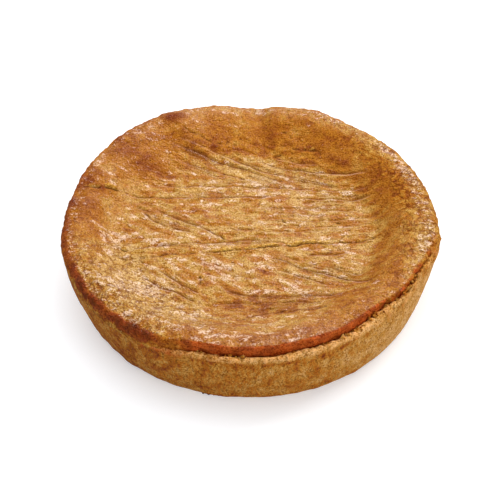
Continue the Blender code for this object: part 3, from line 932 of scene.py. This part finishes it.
def lid_material(colours):
    """Egg-washed butter pastry: brushed with yolk, it bakes to a glossy amber film over matte gold crumb."""
    material, tree, surface = new_material("egg_washed_butter_pastry")
    place, field, (blotch, drawn, speckle, grit, bend) = grained(
        tree, ("browning", "caramel", "wash", "glaze", "torn", "crumbly", "glint_amount", "stroke",
               "stroke_depth", "crack", "crack_depth"), (0.6, 1.0, 1.0), LID_GRAIN)

    # Pits, burst bubbles, and the fine cracks between the plates of the granular crust; they deepen the bump
    # and are painted darker as shade
    pit = add(tree, "MapRange", {"Value": grit, "From Min": 0.47, "From Max": 0.33})
    bubble = add(tree, "TexVoronoi", {"Vector": place, "Scale": 1 / (BUBBLES_APART * MM), "Randomness": 1.0})
    bubble = add(tree, "MapRange", {"Value": bubble, "From Min": 0.15, "From Max": 0.08})
    bent = add(tree, "VectorMath", {0: bend.outputs["Color"], 3: PLATES_BEND * MM}, operation="SCALE")
    bent = add(tree, "VectorMath", (place, bent), operation="ADD")
    plates = add(tree, "TexVoronoi", {"Vector": bent, "Scale": 1 / (PLATES * MM)}, feature="DISTANCE_TO_EDGE")
    crackle = add(tree, "MapRange", {"Value": plates, "From Min": 0.14, "From Max": 0.04})
    cracked = add(tree, "MapRange", {"Value": blotch, "From Min": 0.40, "From Max": 0.58})
    for share in (cracked, field["crumbly"]):
        crackle = add(tree, "Math", (crackle, share), operation="MULTIPLY")
    often = add(tree, "MapRange", {"Value": field["crumbly"], "To Min": 0.15, "To Max": 1.0})
    crevice = add(tree, "Math", (pit, often), operation="MULTIPLY")
    crevice = add(tree, "Math", (crevice, crackle), operation="MAXIMUM")

    # The cuts as soft lines: full depth in the middle, half of it at the half width
    lines = []
    for name, half_width, aside in CUT_LINES:
        off = add(tree, "Math", (field[name], aside), operation="ADD")
        off = add(tree, "Math", (off, 1 / half_width), operation="MULTIPLY")
        spread = add(tree, "Math", (off, off, 1.0), operation="MULTIPLY_ADD")
        lines.append(add(tree, "Math", (field[name + "_depth"], spread), operation="DIVIDE", use_clamp=True))
    stroke_core, stroke_dip, lit_lip_highlight, crack_core, crack_dip = lines
    dip = add(tree, "Math", (stroke_dip, crack_dip), operation="MAXIMUM")
    bare = add(tree, "Math", (1.0, dip), operation="SUBTRACT", use_clamp=True)

    # Browning, the fine relief's painted shade and highlight, the painted glints, and the heights of the
    # crust and of the film on it
    brown, fine, painted_glint, height, film_height = weighted(tree, (
        (field["browning"], ((blotch, 0.40), (drawn, 0.40))),
        (-0.26, ((speckle, 1.3), (drawn, 0.66), (crevice, -0.20), (bubble, -0.20))),
        (drawn, ((speckle, 1.2), (field["glint_amount"], 0.36))),
        (0.0, ((drawn, 1.10), (speckle, 0.50), (crevice, -0.35), (dip, -0.55), (bubble, -0.40))),
        (drawn, ((speckle, 0.30), (crevice, -0.30), (dip, -0.50)))))

    # The colour, laid on in layers
    brown = add(tree, "Math", (brown, 0.40), operation="SUBTRACT", use_clamp=True)
    shade = add(tree, "ValToRGB", {"Fac": brown}, stops=pastry_stops(colours))
    # The fine relief's painted shade in hollows and painted highlight on bumps
    grain = add(tree, "ValToRGB", {"Fac": fine}, stops=PAINTED_LIGHT_STOPS)
    caught = add(tree, "MapRange", {"Value": blotch, "From Min": 0.48, "From Max": 0.62, "To Max": 0.50})
    caramel = add(tree, "Mix", {0: caught, 6: (*colours.caramel, 1.0), 7: (*colours.maroon, 1.0)},
                  data_type="RGBA")
    # Painted glints: pale cream laid where the glaze would shine, with a painted highlight along the lit lip
    # beside each stroke
    painted_glint = add(tree, "MapRange", {"Value": painted_glint, "From Min": 1.30, "From Max": 1.68, "To Max": 0.74})
    painted_glint = add(tree, "Math", (lit_lip_highlight, 0.42, painted_glint), operation="MULTIPLY_ADD", use_clamp=True)
    layers = [(field["caramel"], caramel, "MIX"), (field["torn"], (*colours.crumb, 1.0), "MIX"),
              (1.0, grain, "MULTIPLY"), (painted_glint, (*colours.painted_glint, 1.0), "MIX")]
    # Painted shade in the cuts: the bottoms of the strokes and cracks, and the fine cracks between the
    # plates, are painted dark where shade falls in them
    for line, strength, tone in ((crackle, 0.62, colours.crease), (stroke_core, 0.90, colours.crease),
                                 (crack_dip, 0.30, colours.chestnut), (crack_core, 1.0, colours.burnt)):
        share = add(tree, "Math", (line, strength), operation="MULTIPLY")
        layers.append((share, (*tone, 1.0), "MIX"))
    shade = layered(tree, shade, layers)

    # The film of egg wash shines where it pooled, and not in the cuts
    matte = add(tree, "MapRange", {"Value": field["glaze"], "To Min": 0.80, "To Max": 0.60})
    film = add(tree, "MapRange", {"Value": field["wash"], "To Min": 0.70, "To Max": 0.42})
    for share in (field["glaze"], bare):
        film = add(tree, "Math", (film, share), operation="MULTIPLY")
    bump = add(tree, "Bump", {"Height": height, "Distance": LID_BUMP * MM, "Strength": 1.0})
    film_bump = add(tree, "Bump", {"Height": film_height, "Distance": FILM_BUMP * MM, "Strength": 1.0})
    feed(tree, surface, {"Base Color": shade, "Roughness": matte, "Specular IOR Level": 0.05, "Normal": bump,
                         "Coat Weight": film, "Coat Roughness": 0.16, "Coat Normal": film_bump})
    return material


def case_material(colours, name="baked_shortcrust"):
    """Shortcrust baked against a tin: dry, matte and finely pitted, browner where the tin was hottest; its
    pits carry painted shade and its bumps painted highlight.
    """
    material, tree, surface = new_material(name)
    _, field, (blotch, mottle, speckle, grit) = grained(tree, ("browning", "caramel", "torn"),
                                                        (1.0, 1.0, 0.45), WALL_GRAIN)
    pit = add(tree, "MapRange", {"Value": grit, "From Min": 0.42, "From Max": 0.30})
    brown, fine, height = weighted(tree, (
        (field["browning"], ((blotch, 1.0), (mottle, 1.3))),
        (-0.38, ((speckle, 1.3), (mottle, 0.9), (pit, -0.05), (field["torn"], 0.08))),
        (0.0, ((mottle, 1.5), (speckle, 0.70), (pit, -0.30)))))
    brown = add(tree, "Math", (brown, 1.15), operation="SUBTRACT", use_clamp=True)
    shade = add(tree, "ValToRGB", {"Fac": brown}, stops=pastry_stops(colours))
    # Painted shade in the pits and hollows and painted highlight on the bumps, laid over the colour
    grain = add(tree, "ValToRGB", {"Fac": fine}, stops=WALL_PAINTED_LIGHT_STOPS)
    shade = layered(tree, shade, ((field["caramel"], (*colours.caramel, 1.0), "MIX"),
                                  (field["torn"], (*colours.lip, 1.0), "MIX"),
                                  (1.0, grain, "MULTIPLY")))
    bump = add(tree, "Bump", {"Height": height, "Distance": WALL_BUMP * MM, "Strength": 1.0})
    feed(tree, surface, {"Base Color": shade, "Roughness": 0.75, "Specular IOR Level": 0.05, "Normal": bump})
    return material


# ------------------------------ the stage

CAMERA_ELEVATION = 44.467     # degrees above the floor, seen from the cake's bottom centre
CAMERA_DISTANCE = 0.7691
CAMERA_TARGET = (-0.0005, 0.0, 0.0152)
CAMERA_LENS = 91.3            # on a sensor 36 mm wide
SENSOR_WIDTH = 36.0

WORLD_STRENGTH = 0.50
FLOOR_GLOW = 0.40             # the paper is lit from below, so that shadows on it stay pale
PAPER = (0.66, 0.68, 0.71, 1.0)
WHITE = (1.0, 1.0, 1.0, 1.0)

# Softboxes: name, place, size, watts, colour, and whether they light the crust and show in its shine
SOFTBOXES = (
    ("window", (0.75, 0.55, 0.84), (0.50, 0.36), 7.5, (1.0, 0.97, 0.92), True, True),
    ("skylight", (0.20, 0.90, 0.95), (0.60, 0.30), 8.5, (1.0, 0.98, 0.96), False, True),
    ("overhead", (-0.15, 0.28, 1.1), (1.2, 1.2), 11.7, (1.0, 1.0, 1.0), True, False),
    ("fill", (0.95, -0.8, 0.35), (0.5, 0.5), 4.8, (1.0, 1.0, 1.0), True, False),
    ("backdrop", (0.0, 1.6, 0.30), (3.2, 0.6), 8.0, (0.90, 0.90, 1.0), False, True),
    ("side card", (-1.6, 0.3, 0.30), (0.6, 2.4), 5.0, (0.90, 0.90, 1.0), False, True),
)


def make_floor():
    """A sheet of white paper, which the cake stands on."""
    draft = bmesh.new()
    bmesh.ops.create_grid(draft, x_segments=1, y_segments=1, size=3.0)
    mesh = made_mesh("floor", draft)
    material, tree, surface = new_material("white_paper")
    feed(tree, surface, {"Base Color": PAPER, "Roughness": 0.9, "Emission Color": WHITE,
                         "Emission Strength": FLOOR_GLOW})
    mesh.materials.append(material)
    floor = bpy.data.objects.new("floor", mesh)
    bpy.context.scene.collection.objects.link(floor)
    floor.visible_glossy = False


def make_stage(scene):
    """The floor, the light and a camera at the photograph's angle."""
    make_floor()
    world = bpy.data.worlds.new("studio")
    world.use_nodes = True
    feed(world.node_tree, world.node_tree.nodes["Background"], {"Color": WHITE, "Strength": WORLD_STRENGTH})
    world.cycles_visibility.glossy = False
    scene.world = world
    for name, place, size, watts, shade, lights, shines in SOFTBOXES:
        light = bpy.data.lights.new(name, "AREA")
        light.shape = "RECTANGLE"
        light.size, light.size_y = size
        light.energy = watts
        light.color = shade
        softbox = bpy.data.objects.new(name, light)
        scene.collection.objects.link(softbox)
        softbox.location = place
        softbox.rotation_euler = softbox.location.to_track_quat("Z", "Y").to_euler()
        softbox.visible_diffuse = lights
        softbox.visible_glossy = shines
        softbox.visible_camera = False

    camera = bpy.data.objects.new("camera", bpy.data.cameras.new("camera"))
    scene.collection.objects.link(camera)
    elevation = math.radians(CAMERA_ELEVATION)
    camera.location = Vector((0.0, -math.cos(elevation), math.sin(elevation))) * CAMERA_DISTANCE
    camera.rotation_euler = (camera.location - Vector(CAMERA_TARGET)).to_track_quat("Z", "Y").to_euler()
    camera.data.lens = CAMERA_LENS
    camera.data.sensor_width = SENSOR_WIDTH
    scene.camera = camera
    scene.view_settings.view_transform = "Standard"


# ------------------------------ settings, operators, panel

def length(name, description, default):
    """A length in metres that shows in the panel."""
    return bpy.props.FloatProperty(name=name, description=description, default=default, unit="LENGTH",
                                   precision=4)


def colour(name, description, default):
    """A colour, given in hex, that shows in the panel."""
    return bpy.props.FloatVectorProperty(name=name, description=description, default=linear(default),
                                         subtype="COLOR", size=3, min=0.0, max=1.0)


class CakeSizes(bpy.types.PropertyGroup):
    """The cake's driving sizes."""

    rim_radius: length("Rim radius", "Widest radius, just under the top of the wall", 0.110)
    base_radius: length("Base radius", "Radius at the foot of the wall", 0.102)
    rim_height: length("Rim height", "Height of the lid's crest", 0.0435)
    centre_height: length("Centre height", "Height of the sunken middle of the lid", 0.030)
    bottom_rounding: length("Bottom rounding", "Radius of the edge round the bottom", 0.0025)
    wall_bulge: length("Wall bulge", "How far the wall bulges half way up", 0.0012)
    reach_left: length("Reach left", "Reach of the lid's sunken middle to the left", 0.077)
    reach_right: length("Reach right", "Reach of the lid's sunken middle to the right", 0.070)
    reach_front: length("Reach front", "Reach of the lid's sunken middle to the front", 0.064)
    reach_back: length("Reach back", "Reach of the lid's sunken middle to the back", 0.057)


class CakeColours(bpy.types.PropertyGroup):
    """Pastry's colours, from pale to burnt."""

    # The glint colour is a painted highlight: pale pinkish cream where the glaze would shine, partly egg wash
    # dried pale
    painted_glint: colour("Glint", "Egg wash that frothed and dried pale", "#EDCDB8")
    crumb: colour("Crumb", "Torn crumb in cracks", "#DCAA4C")
    lip: colour("Lip", "Pale top edge of the case", "#E4AD63")
    butter: colour("Butter", "Palest pastry", "#D0A662")
    gold: colour("Gold", "Lightly baked pastry", "#BC8C3C")
    amber: colour("Amber", "Well baked pastry", "#AD6C1B")
    chestnut: colour("Chestnut", "Dark baked pastry", "#8E4C18")
    maroon: colour("Maroon", "Caramelised edges", "#702C10")
    burnt: colour("Burnt", "Caught spots", "#3E1A0C")
    # The crease colour is painted shade at the bottoms of the strokes and fine cracks; burnt also paints the
    # shade in the cracks' cores
    crease: colour("Crease", "Bottom of the fork's strokes and of fine cracks", "#743A10")
    caramel: colour("Caramel", "Egg wash that ran over the edge and caramelised", "#BB571F")


class CAKE_OT_case(bpy.types.Operator):
    """Make the pastry case"""

    bl_idname = "cake.case"
    bl_label = "Pastry case"

    def execute(self, context):
        make_case(Form(context.scene.cake_sizes), case_material(context.scene.cake_colours))
        return {"FINISHED"}


class CAKE_OT_lid(bpy.types.Operator):
    """Make the scored and egg-washed lid"""

    bl_idname = "cake.lid"
    bl_label = "Pastry lid"

    def execute(self, context):
        make_lid(Form(context.scene.cake_sizes), lid_material(context.scene.cake_colours))
        return {"FINISHED"}


class CAKE_OT_crumbs(bpy.types.Operator):
    """Make the loose crumbs along the open seam and at the foot"""

    bl_idname = "cake.crumbs"
    bl_label = "Crumbs"

    def execute(self, context):
        material = case_material(context.scene.cake_colours, "loose_shortcrust_crumbs")
        make_crumbs(Form(context.scene.cake_sizes), material)
        return {"FINISHED"}


class CAKE_OT_stage(bpy.types.Operator):
    """Make the floor, the light and the camera"""

    bl_idname = "cake.stage"
    bl_label = "Stage"

    def execute(self, context):
        make_stage(context.scene)
        return {"FINISHED"}


class CAKE_PT_panel(bpy.types.Panel):
    """The cake's sizes, colours and pieces"""

    bl_label = "Gateau basque"
    bl_idname = "CAKE_PT_panel"
    bl_space_type = "VIEW_3D"
    bl_region_type = "UI"
    bl_category = "Cake"

    def draw(self, context):
        for group in (context.scene.cake_sizes, context.scene.cake_colours):
            for name in group.__annotations__:
                self.layout.prop(group, name)
        for operator in (CAKE_OT_case, CAKE_OT_lid, CAKE_OT_crumbs, CAKE_OT_stage):
            self.layout.operator(operator.bl_idname)


CLASSES = (CakeSizes, CakeColours, CAKE_OT_case, CAKE_OT_lid, CAKE_OT_crumbs, CAKE_OT_stage,
           CAKE_PT_panel)


def register():
    """Makes the classes and the scene's settings known."""
    for cls in CLASSES:
        bpy.utils.register_class(cls)
    bpy.types.Scene.cake_sizes = bpy.props.PointerProperty(type=CakeSizes)
    bpy.types.Scene.cake_colours = bpy.props.PointerProperty(type=CakeColours)


def unregister():
    """Takes back what register made known."""
    del bpy.types.Scene.cake_colours
    del bpy.types.Scene.cake_sizes
    for cls in reversed(CLASSES):
        bpy.utils.unregister_class(cls)


def main():
    """Makes the pieces and the stage."""
    register()
    bpy.ops.cake.case()
    bpy.ops.cake.lid()
    bpy.ops.cake.crumbs()
    bpy.ops.cake.stage()


if __name__ == "__main__":
    main()
